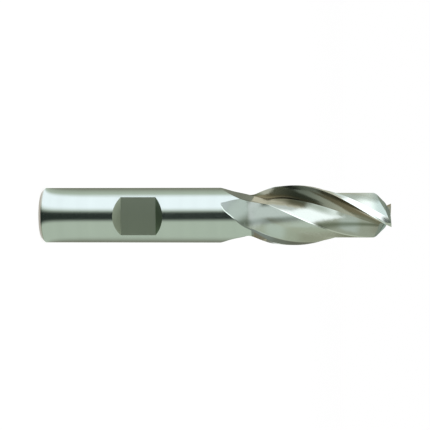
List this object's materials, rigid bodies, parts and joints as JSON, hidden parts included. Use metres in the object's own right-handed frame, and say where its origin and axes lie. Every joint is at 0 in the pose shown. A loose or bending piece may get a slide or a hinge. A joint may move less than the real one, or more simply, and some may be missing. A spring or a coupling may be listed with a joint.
{
  "type": "end mill",
  "caption": "Right-hand helical end mill with a ground cylindrical shank, a side clamping flat and gashed, centre-cutting ends.",
  "frame": {"origin": "centre of the shank end face", "axes": "+Z along the tool axis towards the cutting end, -Y out of the clamping flat"},
  "size_m": [0.013, 0.013, 0.0765],
  "materials": {
    "tool_steel": "ground bright tool steel, satin on the clearances and the clamping flat"
  },
  "bodies": {
    "root": {"end_mill": "tool_steel"}
  },
  "joints": []
}
